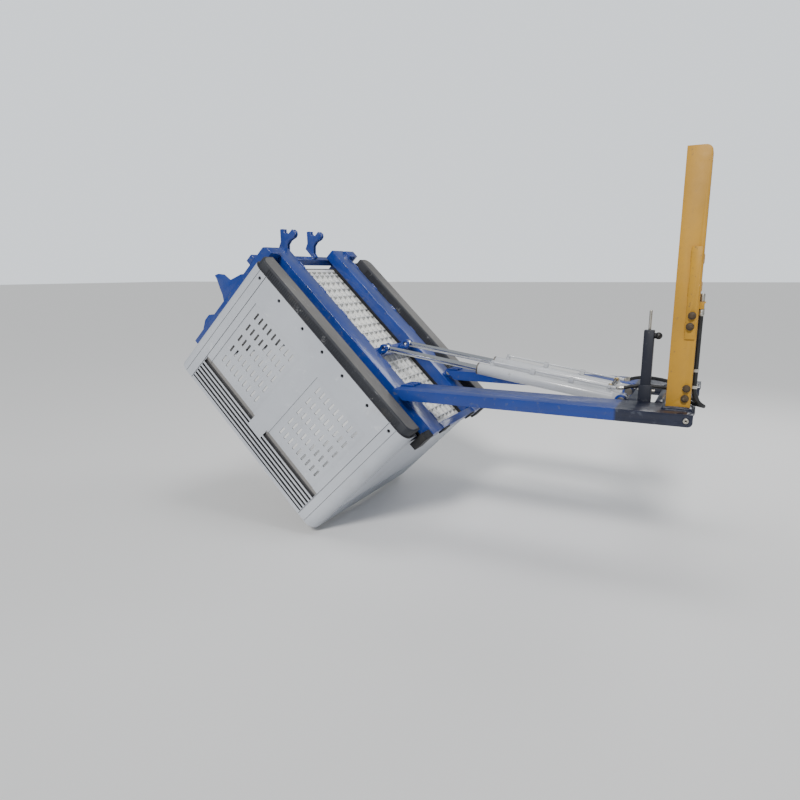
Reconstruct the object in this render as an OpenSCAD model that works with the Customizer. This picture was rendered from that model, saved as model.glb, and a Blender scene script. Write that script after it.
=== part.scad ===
// Forward bin tipper: two fork-sleeve arms, a tilting cradle worked by twin cylinders, a rear
// guard frame and the bulk bin it carries. X runs rearward, Y to the right, Z up.
// The origin is midway between the rear mouths of the two fork sleeves.

/* [Bin] */
// outside length and width of the square bulk bin
bin_l = 1165; // [1100:5:1220]
// wall height of the bin from its skirt edge to the rim
bin_h = 741; // [600:1:900]
// wall thickness of the bin
bin_t = 8; // [5:1:14]
// radius of the bin's upright corners
bin_r = 62; // [30:1:100]
// drop of the runner feet below the skirt edge
foot_h = 43; // [20:1:80]

/* [Arms] */
// width of one fork-sleeve arm
arm_w = 216; // [150:1:260]
// height of one fork-sleeve arm
arm_h = 50; // [40:1:80]
// wall thickness of the arms
arm_t = 4; // [3:0.5:8]
// clear distance between the two arms
arm_gap = 475; // [400:1:600]

/* [Cradle] */
// tilt of the cradle, from level, in the modelled pose
tilt = 135.6; // [0:0.1:140]
// width of one cradle beam
beam_w = 131; // [80:1:160]
// depth of one cradle beam
beam_h = 60; // [40:1:100]
// length of the rear uprights of the cradle
upright_h = 713; // [400:1:760]

/* [Cylinders] */
// outside diameter of the cylinder barrels
barrel_d = 56; // [50:1:90]
// diameter of the piston rods
rod_d = 30; // [20:1:50]
// distance from the machine centreline to each cylinder
cyl_y = 134.5; // [100:0.5:200]

/* [Rear frame] */
// fore-and-aft width of the guard uprights
post_w = 88; // [60:1:120]
// fore-and-aft width of the right-hand guard upright
post_w_right = 68; // [50:1:120]
// height of the guard uprights above the arms
post_h = 992; // [600:1:1200]

/* [Hidden] */
$fn = 64;
eps = 0.3;
arm_y0 = arm_gap/2;
arm_y1 = arm_y0 + arm_w;
half = bin_l/2;
// cradle frame: u from the bin's tipping edge to its heel, v across, w up from the skirt edge
piv_u = 221.7;
piv_w = -60;
piv_x = -1268;
piv_z = 12;
beam_u0 = -40;
beam_u1 = 1238;
beam_w0 = -31;
beam_y0 = 229.5;
beam_y1 = beam_y0 + beam_w;
eye_u = 484;
eye_w = -37;
base_x = -297;
box_x0 = -265;
box_x1 = -205;
base_z = 6;
eye_x = piv_x + (eye_u - piv_u)*cos(tilt) - (eye_w - piv_w)*sin(tilt);
eye_z = piv_z + (eye_u - piv_u)*sin(tilt) + (eye_w - piv_w)*cos(tilt);
cyl_dx = base_x - eye_x;
cyl_dz = eye_z - base_z;
cyl_len = sqrt(cyl_dx*cyl_dx + cyl_dz*cyl_dz);
cyl_a = atan2(cyl_dz, cyl_dx);
gland_at = 671;
lug_r = 22;
pin_d = 26;
fit = 0.05;
upr_v0 = 360.5;
upr_v1 = 452.5;
upr_w0 = -44;
back_t = 30;
// the notch of the saddle hooks, in the cradle frame
saddle_u = 1351;
saddle_w = -62;
post_x0 = -105;
post_y0 = 300;
post_y1 = 370;
post_bolt_at = [[-38, 399, 8], [-42, 357, 8], [-35, 113, 0], [-38, 73, 0]];
leg_x = -198;
leg_y = -213;
ret_x = -24;
// the two hoses down the rear of the left upright
hose_x = -8;
hose_lanes = [-345, -325];
blue = [0.05, 0.20, 0.58];
yellow = [0.80, 0.58, 0.16];
grey = [0.72, 0.73, 0.75];
steel = [0.75, 0.76, 0.78];
black = [0.06, 0.06, 0.07];

module cradle() { translate([piv_x, 0, piv_z]) rotate([0, -tilt, 0]) translate([-piv_u, 0, -piv_w]) children(); }
module both() { children(); mirror([0, 1, 0]) children(); }
module bar_y(x, z, d, y0, y1) { translate([x, y0, z]) rotate([-90, 0, 0]) cylinder(d = d, h = y1 - y0); }
module box(x0, x1, y0, y1, z0, z1) { translate([x0, y0, z0]) cube([x1 - x0, y1 - y0, z1 - z0]); }
module plate_y(y0, y1, pts) { translate([0, y1, 0]) rotate([90, 0, 0]) linear_extrude(y1 - y0) polygon(pts); }
module round_rect(l, w, r) { translate([r, -w/2 + r]) offset_rect(l - 2*r, w - 2*r, r); }
module offset_rect(a, b, r) {
  translate([-r, 0]) square([a + 2*r, b]);
  translate([0, -r]) square([a, b + 2*r]);
  for (x = [0, a], y = [0, b]) translate([x, y]) circle(r);
}
// cylinder frame: x along the rod from the base pin towards the eye
module on_cylinder(s) { translate([base_x, s*cyl_y, base_z]) rotate([0, cyl_a - 180, 0]) children(); }

// ---- root frame ----
// the front end of each sleeve is cut parallel to the tipped cradle beams
module front_cut(w) { cradle() box(-400, 700, -700, 700, w, w + 400); }
module arm(s) {
  y = s > 0 ? arm_y0 : -arm_y1;
  color(blue) difference() {
    box(-1420, 0, y, y + arm_w, -arm_h/2, arm_h/2);
    box(-1180, 10, y + arm_t, y + arm_w - arm_t, -arm_h/2 + arm_t, arm_h/2 - arm_t);
    front_cut(-62);
    bar_y(ret_x, 0, 16 + 2*fit, y - 5, y + arm_w + 5);
    bar_y(piv_x, piv_z, pin_d + 2*fit, y + (s > 0 ? 9 : arm_w - 118), y + (s > 0 ? 118 : arm_w - 9));
    difference() {
      box(-18, 1, y - 1, y + arm_w + 1, -arm_h/2 - 1, -arm_h/2 + 18);
      bar_y(-18, -arm_h/2 + 18, 36, y - 2, y + arm_w + 2);
    }
    for (q = [[30, 50], [77, 97]]) box(-1330, -1215, y + (s > 0 ? q[0] : arm_w - q[1]),
      y + (s > 0 ? q[1] : arm_w - q[0]), -60, 60);
  }
}
module arm_lugs() {
  color(blue) both() for (q = [[15, 29.5], [50.5, 60], [67, 76.5], [97.5, 112]])
    difference() {
      union() {
        bar_y(piv_x, piv_z, 2*lug_r, arm_y0 + q[0], arm_y0 + q[1]);
        box(piv_x, piv_x + 50, arm_y0 + q[0], arm_y0 + q[1], piv_z - 20, piv_z + lug_r);
      }
      bar_y(piv_x, piv_z, pin_d + 2*fit, arm_y0, arm_y0 + 200);
      difference() {
        box(-1420, -1000, arm_y0, arm_y1, -arm_h/2, arm_h/2);
        front_cut(-62);
      }
    }
}
module pivot_pins() {
  color(steel) both() bar_y(piv_x, piv_z, pin_d, arm_y0 + 10, arm_y0 + 117);
}
module rear_box() {
  color(blue) difference() {
    box(box_x0, box_x1, -arm_y0, arm_y0, -arm_h/2, arm_h/2 - 4);
    box(box_x0 + 5, box_x1 - 5, leg_y + 32, arm_y0 - 5, -arm_h/2 + 5, arm_h/2 - 9);
    box(leg_x - 25, leg_x + 25, leg_y - 30, leg_y + 25, -60, 60);
  }
}
module saddle_bar() { color(blue) bar_y(saddle_u - 1489.7, saddle_w + 72, 40, -arm_y0, arm_y0); }
module base_ears() {
  color(blue) both() for (y = [cyl_y - 34, cyl_y + 20.2])
    difference() {
      union() {
        bar_y(base_x, base_z, 56, y, y + 13.8);
        box(base_x, box_x0, y, y + 13.8, base_z - 28, base_z + 15);
      }
      bar_y(base_x, base_z, 25 + 2*fit, 0, 300);
    }
}
module base_pins() {
  color(steel) both() {
    bar_y(base_x, base_z, 25, cyl_y - 42, cyl_y + 42);
    bar_y(base_x, base_z, 36, cyl_y - 42, cyl_y - 36);
    bar_y(base_x, base_z, 36, cyl_y + 36, cyl_y + 42);
  }
}
module retaining_pin(s) {
  y = s > 0 ? arm_y0 : -arm_y1;
  color(steel) difference() {
    union() {
      bar_y(ret_x, 0, 16, y - 3, y + arm_w + 3);
      if (s > 0) bar_y(ret_x, 0, 21, y + arm_w + eps, y + arm_w + 6);
      else bar_y(ret_x, 0, 21, y - 6, y - eps);
    }
    if (s > 0) bar_y(ret_x, 0, 7, y + arm_w - 20, y + arm_w + 10);
    else bar_y(ret_x, 0, 7, y - 10, y + 20);
  }
}
module post_profile(w) {
  difference() {
    square([w, post_h]);
    translate([w - 26, post_h - 26]) difference() { square(30); circle(26); }
  }
}
module post(s) {
  w = s > 0 ? post_w_right : post_w;
  color(yellow) translate([post_x0, s > 0 ? post_y1 : -post_y0, arm_h/2 + 10]) rotate([90, 0, 0]) difference() {
    linear_extrude(post_y1 - post_y0) post_profile(w);
    translate([5, 5, 5]) cube([w - 10, post_h - 45, post_y1 - post_y0 - 10]);
    for (p = post_bolt_at)
      translate([p[0] - (s > 0 ? 14 : 0) - post_x0, p[1] - arm_h/2 - 10, -1]) cylinder(d = 16.2, h = 100);
  }
}
module post_feet() {
  color(blue) both() box(post_x0 - 12, -8, post_y0 - 12, post_y1 + 12, arm_h/2, arm_h/2 + 10);
}
module post_cross_top() { color(yellow) box(-91, -41, -post_y0, post_y0, 900, 950); }
module post_cross_mid() { color(yellow) box(-91, -41, -post_y0, post_y0, 560, 610); }
module strip(dx) {
  difference() {
    box(-58 + dx, -22 + dx, post_y1, post_y1 + 8, 308, 660);
    for (p = [[-38, 399], [-42, 357]]) bar_y(p[0] + dx, p[1], 16.2, 300, 400);
  }
}
module post_strips() { color(yellow) { strip(-14); mirror([0, 1, 0]) strip(0); } }
module bolt_set(dx) {
  for (p = post_bolt_at) translate([p[0] + dx, 0, p[1]]) {
    bar_y(0, 0, 16, post_y0 - 16, post_y1 + p[2] + 22);
    bar_y(0, 0, 30, post_y1 + p[2], post_y1 + p[2] + 3);
    translate([0, post_y1 + p[2] + 3, 0]) rotate([-90, 0, 0]) cylinder(d = 27, h = 13, $fn = 6);
    translate([0, post_y0 - 10, 0]) rotate([-90, 0, 0]) cylinder(d = 27, h = 10, $fn = 6);
  }
}
module post_bolts() { color(steel) { bolt_set(-14); mirror([0, 1, 0]) bolt_set(0); } }
module leg_sleeve() {
  color(blue) difference() {
    union() {
      box(leg_x - 24.5, leg_x + 24.5, leg_y - 24.5, leg_y + 24.5, -40, 95);
      bar_y(leg_x, 62, 30, leg_y + 24.5, leg_y + 35);
    }
    box(leg_x - 21, leg_x + 21, leg_y - 21, leg_y + 21, -50, 100);
    bar_y(leg_x, 62, 14.4, leg_y, leg_y + 50);
  }
}
module parking_leg() {
  color(blue) difference() {
    box(leg_x - 20, leg_x + 20, leg_y - 20, leg_y + 20, -58, 326);
    box(leg_x - 16, leg_x + 16, leg_y - 16, leg_y + 16, -54, 320);
  }
}
module leg_foot() { color(blue) box(leg_x - 22, leg_x + 50, leg_y - 22, leg_y + 45, -66, -58); }
module leg_pull_rod() {
  color(steel) {
    translate([leg_x, leg_y, 326]) cylinder(d = 12, h = 78);
    translate([leg_x, leg_y, 404]) sphere(d = 12);
    translate([leg_x + 20, leg_y, 303]) rotate([0, 90, 0]) cylinder(d = 24, h = 14);
    translate([leg_x + 36, leg_y, 303]) sphere(d = 30);
  }
}
module leg_clamp() {
  color(steel) {
    bar_y(leg_x, 62, 14, leg_y + 20.5, leg_y + 52);
    translate([leg_x - 35, leg_y + 45, 62]) rotate([0, 90, 0]) cylinder(d = 10, h = 70);
  }
}
module coupler_bracket() {
  color(yellow) difference() {
    union() {
      box(-17, 4, -358, -312, 446, 452);
      for (y = [-358, -315]) box(-17, 0, y, y + 3, 424, 447);
    }
    for (y = hose_lanes) translate([hose_x, y, 440]) cylinder(d = 14.1, h = 20);
  }
}
module couplers() {
  color(steel) for (y = hose_lanes) translate([hose_x, y, 0]) difference() {
    union() {
      translate([0, 0, 425]) cylinder(d = 14, h = 40);
      translate([0, 0, 452]) cylinder(d = 16, h = 30);
      translate([0, 0, 432]) cylinder(d = 16, h = 14, $fn = 6);
    }
    translate([0, 0, 462]) cylinder(d = 11, h = 30);
  }
}
module hose_clips() {
  color(steel) for (z = [[112, 124], [178, 190]]) difference() {
    box(-17, 1.5, -357, -313, z[0], z[1]);
    for (y = hose_lanes) translate([hose_x, y, z[0] - 5]) cylinder(d = 16.8, h = 30);
  }
}
function arc_pts(p, n) = [for (i = [0 : n]) let (t = i/n, k = len(p) - 1, s = min(floor(t*k), k - 1), f = t*k - s,
  a = p[max(s - 1, 0)], b = p[s], c = p[s + 1], d = p[min(s + 2, k)])
  0.5*((2*b) + (c - a)*f + (2*a - 5*b + 4*c - d)*f*f + (3*b - a - 3*c + d)*f*f*f)];
function unit(v) = v/norm(v);
function tangent(q, i) = unit(q[min(i + 1, len(q) - 1)] - q[max(i - 1, 0)]);
function side(t) = unit(cross(t, abs(t[1]) < 0.9 ? [0, 1, 0] : [1, 0, 0]));
module hose(pts, d, n) {
  q = arc_pts(pts, n);
  m = 10;
  rings = [for (i = [0 : n], k = [0 : m - 1]) let (t = tangent(q, i), a = side(t), b = cross(t, a))
    q[i] + d/2*(a*cos(360*k/m) + b*sin(360*k/m))];
  skin = [for (i = [0 : n - 1], k = [0 : m - 1]) [i*m + k, i*m + (k + 1)%m, (i + 1)*m + (k + 1)%m, (i + 1)*m + k]];
  color(black) polyhedron(rings, concat(skin, [[for (k = [m - 1 : -1 : 0]) k], [for (k = [0 : m - 1]) n*m + k]]));
}
feed_pts = [[-8, -345, 425], [-8, -345, 360], [-8, -345, 280], [-8, -345, 200], [-8, -345, 130], [-8, -345, 104],
  [-3, -344, 80], [12, -340, 56], [27, -329, 42], [28, -308, 38], [14, -284, 36], [-8, -260, 37], [-30, -232, 39],
  [-46, -202, 43], [-58, -168, 49], [-69, -134, 55], [-84, -108, 61], [-115, -94, 65], [-165, -88, 68],
  [-215, -94, 69], [-258, -109, 66], [-290, -125, 60], [-320, -133, 57]];
return_pts = [[-8, -325, 425], [-8, -325, 360], [-8, -325, 280], [-8, -325, 200], [-8, -325, 130], [-8, -325, 104],
  [-4, -323, 86], [2, -316, 70], [5, -300, 58], [0, -280, 54], [-12, -258, 55], [-31, -232, 58], [-46, -202, 62],
  [-57, -168, 68], [-67, -132, 74], [-80, -94, 80], [-102, -50, 84], [-137, 0, 85], [-180, 46, 84],
  [-225, 82, 81], [-262, 107, 74], [-292, 124, 64], [-320, 133, 57]];
link_pts = [[-353, -115, 60], [-355, -98, 60], [-358, -70, 56], [-360, -35, 50], [-360, 0, 47],
  [-360, 35, 50], [-358, 70, 56], [-355, 98, 60], [-353, 115, 60]];
module hose_feed() { hose(feed_pts, 16, 32); }
module hose_return() { hose(return_pts, 16, 32); }
module hose_link() { hose(link_pts, 13, 12); }

// ---- cradle ----
module beam(s) {
  y = s > 0 ? beam_y0 : -beam_y1;
  color(blue) cradle() difference() {
    box(beam_u0, beam_u1, y, y + beam_w, beam_w0, beam_w0 + beam_h);
    box(beam_u0 + 5, beam_u1 - 5, y + 5, y + beam_w - 5, beam_w0 + 5, beam_w0 + beam_h - 5);
  }
}
module tilt_lugs() {
  color(blue) cradle() both() for (q = [[30.5, 49.5], [77.5, 96.5]])
    difference() {
      union() {
        bar_y(piv_u, piv_w, 2*lug_r, arm_y0 + q[0], arm_y0 + q[1]);
        box(piv_u - lug_r, piv_u + lug_r, arm_y0 + q[0], arm_y0 + q[1], piv_w, beam_w0);
      }
      bar_y(piv_u, piv_w, pin_d + 2*fit, 0, 500);
    }
}
module eye_tube() { color(blue) cradle() box(eye_u - 9, eye_u + 41, -beam_y0, beam_y0, 4, 29); }
module eye_ears() {
  color(blue) cradle() both() for (y = [cyl_y - 30.2, cyl_y + 20.2])
    difference() {
      union() {
        bar_y(eye_u, eye_w, 48, y, y + 10);
        box(eye_u - 9, eye_u + 21, y, y + 10, eye_w, 4);
      }
      bar_y(eye_u, eye_w, 25.2, 0, 300);
    }
}
module bearing_strips() { color(black) cradle() both() box(0, 1150, beam_y0 + 5, beam_y1 - 5, 29, 49.5); }
module front_bar() { color(blue) cradle() box(beam_u0, -4, -beam_y0, beam_y0, beam_w0, 9); }
module front_pads() {
  color(black) cradle() both() {
    box(-46, -8, beam_y1, upr_v1, -25, 60);
    box(-46, beam_u0, 150, beam_y0, beam_w0, 9);
  }
}
module upright(s) {
  y = s > 0 ? upr_v0 : -upr_v1;
  color(blue) cradle() difference() {
    box(1178, beam_u1, y, upr_v1 - upr_v0 + y, upr_w0, upr_w0 + upright_h);
    box(1183, beam_u1 - 5, y + 5, upr_v1 - upr_v0 + y - 5, upr_w0 + 30, upr_w0 + upright_h - 5);
    translate([beam_u1, y - 1, upr_w0]) rotate([0, 45, 0]) cube([24, 2*(upr_v1 - upr_v0) + 10, 24], center = true);
  }
}
module back_tube_low() { color(blue) cradle() box(beam_u1, beam_u1 + back_t, -upr_v1, upr_v1, 50, 95); }
module back_tube_high() { color(blue) cradle() box(1188, beam_u1, -upr_v0, upr_v0, 560, 620); }
module side_lugs() {
  color(blue) cradle() both() plate_y(upr_v1 - 14, upr_v1 - 2,
    [[beam_u1, 160], [1250, 172], [1282, 246], [1332, 254], [1362, 278], [1374, 300], [1349, 306], [1300, 328],
     [1268, 340], [beam_u1, 360]]);
}
module stop_blocks() {
  color(blue) cradle() both() plate_y(upr_v1 - 60, upr_v1 - 2,
    [[beam_u1, 458], [1264, 490], [1264, 530], [beam_u1, 581]]);
}
module saddle_hooks() {
  color(blue) cradle() both() for (y = [cyl_y - 16, cyl_y + 6])
    difference() {
      plate_y(y, y + 10, [[beam_u1 + 5, 50], [1326, 46], [1338, 14], [1370, -16], [1387, -32], [1379, -42], [1326, -88],
        [1308, -90], [1294, -80], [1290, -62], [1300, -30], [1296, -4], [1268, 26], [beam_u1 + 5, 30]]);
      bar_y(saddle_u, saddle_w, 43, 0, 400);
      box(saddle_u - 21.5, saddle_u + 21.5, 0, 400, saddle_w - 60, saddle_w);
    }
}

// ---- cylinders ----
module barrel(s) {
  color(steel) on_cylinder(s) difference() {
    union() {
      translate([40, 0, 0]) rotate([0, 90, 0]) cylinder(d = barrel_d, h = gland_at - 40);
      translate([0, -20, 0]) rotate([-90, 0, 0]) cylinder(d = 50, h = 40);
      box(0, 42, -20, 20, -25, 25);
      translate([62, 0, -barrel_d/2 - 10]) cylinder(d = 24, h = 13);
      translate([gland_at - 62, 0, -barrel_d/2 - 10]) cylinder(d = 24, h = 13);
    }
    translate([0, -30, 0]) rotate([-90, 0, 0]) cylinder(d = 25 + 2*fit, h = 60);
    translate([70, 0, 0]) rotate([0, 90, 0]) cylinder(d = barrel_d - 12, h = gland_at);
  }
}
module pipe(s) {
  color(steel) on_cylinder(s) {
    translate([62, 0, -barrel_d/2 - 18]) rotate([0, 90, 0]) cylinder(d = 10, h = gland_at - 124);
    for (x = [62, gland_at - 62]) translate([x, 0, -barrel_d/2 - 26]) cylinder(d = 15, h = 16);
    translate([34, 0, -barrel_d/2 - 18]) rotate([0, 90, 0]) cylinder(d = 14, h = 28);
    translate([62, 16, -barrel_d/2 - 18]) rotate([90, 0, 0]) cylinder(d = 12, h = 32);
    for (x = [220, 400]) box(x, x + 22, -11, 11, -barrel_d/2 - 24, -barrel_d/2);
  }
}
module gland(s) {
  color(steel) on_cylinder(s) difference() {
    translate([gland_at - 30, 0, 0]) rotate([0, 90, 0]) {
      cylinder(d = barrel_d - 12, h = 30);
      translate([0, 0, 30]) cylinder(d = barrel_d + 2, h = 8);
    }
    translate([gland_at - 60, 0, 0]) rotate([0, 90, 0]) cylinder(d = rod_d + 2*fit, h = 120);
  }
}
module rod(s) {
  color(steel) on_cylinder(s) {
    translate([620, 0, 0]) rotate([0, 90, 0]) cylinder(d = rod_d, h = cyl_len - 640);
    translate([590, 0, 0]) rotate([0, 90, 0]) cylinder(d = barrel_d - 12.2, h = 30);
  }
}
module rod_eye(s) {
  color(steel) on_cylinder(s) {
    difference() {
      translate([cyl_len, -15, 0]) rotate([-90, 0, 0]) cylinder(d = 44, h = 30);
      translate([cyl_len - 60, 0, 0]) rotate([0, 90, 0]) cylinder(d = rod_d, h = 40);
    }
    translate([cyl_len, -19.5, 0]) rotate([-90, 0, 0]) cylinder(d = 25, h = 39);
  }
}

// ---- bin ----
module bin_wall(l, t, r, z0, z1) {
  translate([0, 0, z0]) linear_extrude(z1 - z0) difference() {
    round_rect(l, l, r);
    translate([t, 0]) round_rect(l - 2*t, l - 2*t, r - t);
  }
}
module bin_shell() {
  color(grey) cradle() difference() {
    bin_wall(bin_l, bin_t, bin_r, 0, bin_h - 40);
    for (u = [87, 243.5, 429.4]) for (x = [u, bin_l - u]) bar_y(x, 31.6, 18, -half - 5, half + 5);
    bar_y(bin_l/2, 31.6, 18, -half - 5, half + 5);
    box(-1, bin_l + 1, -half + 124, half - 124, -1, 50);
  }
}
module bin_floor() {
  color(grey) cradle() translate([0, 0, 50]) linear_extrude(24)
    translate([bin_t, 0]) round_rect(bin_l - 2*bin_t, bin_l - 2*bin_t, bin_r - bin_t);
}
module bin_feet() {
  color(grey) cradle() both() difference() {
    translate([0, 0, -foot_h]) linear_extrude(foot_h + 50) intersection() {
      translate([bin_t + 1, 0]) round_rect(bin_l - 2*bin_t - 2, bin_l - 2*bin_t - 2, bin_r - bin_t - 1);
      translate([0, half - 122]) square([bin_l, 108]);
    }
    box(64, bin_l - 64, half - 115, half - 21, -foot_h + 7, 51);
  }
}
module bin_rim() { color(grey) cradle() bin_wall(bin_l, bin_t + 10, bin_r, bin_h - 40, bin_h); }

arm(-1);  // arm_left
arm(1);  // arm_right
arm_lugs();
pivot_pins();
rear_box();
saddle_bar();
base_ears();
base_pins();
retaining_pin(-1);  // retaining_pin_left
retaining_pin(1);  // retaining_pin_right
post(-1);  // post_left
post(1);  // post_right
post_feet();
post_cross_top();
post_cross_mid();
post_strips();
post_bolts();
leg_sleeve();
parking_leg();
leg_foot();
leg_pull_rod();
leg_clamp();
coupler_bracket();
couplers();
hose_clips();
hose_feed();
hose_return();
hose_link();
beam(-1);  // beam_left
beam(1);  // beam_right
tilt_lugs();
eye_tube();
eye_ears();
bearing_strips();
front_bar();
front_pads();
upright(-1);  // upright_left
upright(1);  // upright_right
back_tube_low();
back_tube_high();
side_lugs();
stop_blocks();
saddle_hooks();
barrel(-1);  // barrel_left
barrel(1);  // barrel_right
pipe(-1);  // barrel_pipes
pipe(1);  // barrel_pipes_right
gland(-1);  // gland_left
gland(1);  // gland_right
rod(-1);  // rod_left
rod(1);  // rod_right
rod_eye(-1);  // rod_eye_left
rod_eye(1);  // rod_eye_right
bin_shell();
bin_floor();
bin_feet();
bin_rim();
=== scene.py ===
import math
import random

import bmesh
import bpy
from mathutils import Matrix, Vector


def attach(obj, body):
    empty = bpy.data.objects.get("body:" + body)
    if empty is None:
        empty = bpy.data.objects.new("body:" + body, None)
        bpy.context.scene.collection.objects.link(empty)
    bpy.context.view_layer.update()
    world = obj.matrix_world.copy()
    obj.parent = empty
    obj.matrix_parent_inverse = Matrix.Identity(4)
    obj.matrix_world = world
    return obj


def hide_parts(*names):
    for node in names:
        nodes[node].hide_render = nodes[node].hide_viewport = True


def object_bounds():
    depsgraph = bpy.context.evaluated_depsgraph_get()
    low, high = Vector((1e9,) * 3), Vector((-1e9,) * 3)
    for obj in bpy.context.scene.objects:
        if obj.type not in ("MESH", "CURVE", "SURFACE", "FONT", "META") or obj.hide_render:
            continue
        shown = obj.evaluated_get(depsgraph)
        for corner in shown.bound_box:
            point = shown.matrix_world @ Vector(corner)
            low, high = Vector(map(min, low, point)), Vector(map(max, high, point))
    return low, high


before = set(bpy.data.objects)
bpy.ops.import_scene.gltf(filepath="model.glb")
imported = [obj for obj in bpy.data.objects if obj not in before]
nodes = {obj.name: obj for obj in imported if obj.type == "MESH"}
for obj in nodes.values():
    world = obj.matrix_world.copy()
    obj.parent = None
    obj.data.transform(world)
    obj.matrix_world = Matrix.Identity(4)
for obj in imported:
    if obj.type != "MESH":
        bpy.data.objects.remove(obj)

cad_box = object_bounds()
rng = random.Random(7)
scene = bpy.context.scene
MM = 0.001

# ---------------------------------------------------------------- camera
# The camera's place, its view direction and its up direction, in the row frame
CAM_AT = Vector((0.0656, -3.2365, 0.5664))
CAM_FORWARD = Vector((-0.4753, 0.8589, -0.1908)).normalized()
CAM_UP = Vector((-0.0874, 0.1696, 0.9816))


def make_camera():
    right = CAM_FORWARD.cross(CAM_UP).normalized()
    up = right.cross(CAM_FORWARD)
    data = bpy.data.cameras.new("camera")
    data.lens, data.sensor_width = 29.66, 36.0
    data.shift_x, data.shift_y = 0.0544, 0.0018
    cam = bpy.data.objects.new("camera", data)
    turn = Matrix((right, up, -CAM_FORWARD)).transposed().to_4x4()
    cam.matrix_world = Matrix.Translation(CAM_AT) @ turn
    scene.collection.objects.link(cam)
    scene.camera = cam


make_camera()

# ---------------------------------------------------------------- the cradle's own frame
# u runs along the bin from its tipping edge, v across it, w up from its skirt edge
TILT = math.radians(135.6)
PIVOT = Vector((-1.268, 0.0, 0.012))
PIVOT_UW = (0.2217, -0.060)
BIN_L, BIN_H, BIN_R, BIN_T = 1.165, 0.741, 0.062, 0.008
HALF = BIN_L / 2


def tip(u, y, w):
    """A point of the cradle's frame (metres, y from the centreline) in the row frame."""
    du, dw = u - PIVOT_UW[0], w - PIVOT_UW[1]
    c, s = math.cos(TILT), math.sin(TILT)
    return Vector((PIVOT.x + du * c - dw * s, y, PIVOT.z + du * s + dw * c))


def still(x, y, z):
    return Vector((x, y, z))


# The left and right cylinders: base pin, and the rod's direction at rest
BASE = Vector((-0.297, 0.0, 0.006))
EYE = tip(0.484, 0.0, -0.037)
ROD_ANGLE = math.atan2(EYE.z - BASE.z, BASE.x - EYE.x)
CYL_Y = 0.1345


def along(side):
    """A placer for one cylinder: x along the rod from the base pin, y across, z upward."""
    def place(x, y, z):
        c, s = math.cos(ROD_ANGLE), math.sin(ROD_ANGLE)
        return Vector((BASE.x - x * c + z * s, side * CYL_Y + y, BASE.z + x * s + z * c))
    return place


# ---------------------------------------------------------------- materials
# Where along the arms the rear colour fades in: a painted shadow, the blue darkened where a shadow falls over
# the arms' rear
PAINTED_SHADOW_FROM = (-0.290, -0.278)


def node_tree(name):
    mat = bpy.data.materials.new(name)
    mat.use_nodes = True
    tree = mat.node_tree
    tree.nodes.clear()
    out = tree.nodes.new("ShaderNodeOutputMaterial")
    shader = tree.nodes.new("ShaderNodeBsdfPrincipled")
    tree.links.new(shader.outputs[0], out.inputs[0])
    where = tree.nodes.new("ShaderNodeTexCoord").outputs["Object"]
    return mat, tree, shader, where


def noise(tree, where, scale, detail=4.0, rough=0.55, stretch=None):
    n = tree.nodes.new("ShaderNodeTexNoise")
    n.inputs["Scale"].default_value = scale
    n.inputs["Detail"].default_value = detail
    n.inputs["Roughness"].default_value = rough
    if stretch:
        m = tree.nodes.new("ShaderNodeMapping")
        m.inputs["Scale"].default_value = stretch
        tree.links.new(where, m.inputs["Vector"])
        where = m.outputs[0]
    tree.links.new(where, n.inputs["Vector"])
    return n.outputs["Fac"]


def ramp(tree, value, lo, hi):
    """0 below lo, 1 above hi."""
    r = tree.nodes.new("ShaderNodeMapRange")
    r.inputs["From Min"].default_value = lo
    r.inputs["From Max"].default_value = hi
    tree.links.new(value, r.inputs["Value"])
    return r.outputs[0]


def blend_colour(tree, fac, a, b):
    m = tree.nodes.new("ShaderNodeMix")
    m.data_type = "RGBA"
    tree.links.new(fac, m.inputs[0])
    for socket, value in ((m.inputs[6], a), (m.inputs[7], b)):
        if isinstance(value, tuple):
            socket.default_value = (*value, 1.0)
        else:
            tree.links.new(value, socket)
    return m.outputs[2]


def calc(tree, kind, a, b):
    m = tree.nodes.new("ShaderNodeMath")
    m.operation = kind
    for socket, value in zip(m.inputs, (a, b)):
        if isinstance(value, (int, float)):
            socket.default_value = value
        else:
            tree.links.new(value, socket)
    return m.outputs[0]


def bump(tree, shader, height, strength, distance, below=None):
    b = tree.nodes.new("ShaderNodeBump")
    b.inputs["Strength"].default_value = strength
    b.inputs["Distance"].default_value = distance
    tree.links.new(height, b.inputs["Height"])
    if below:
        tree.links.new(below, b.inputs["Normal"])
    tree.links.new(b.outputs[0], shader.inputs["Normal"])
    return b.outputs[0]


def spread(tree, value, lo, hi):
    """Maps 0..1 to lo..hi."""
    r = tree.nodes.new("ShaderNodeMapRange")
    r.inputs["To Min"].default_value = lo
    r.inputs["To Max"].default_value = hi
    tree.links.new(value, r.inputs["Value"])
    return r.outputs[0]


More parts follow.
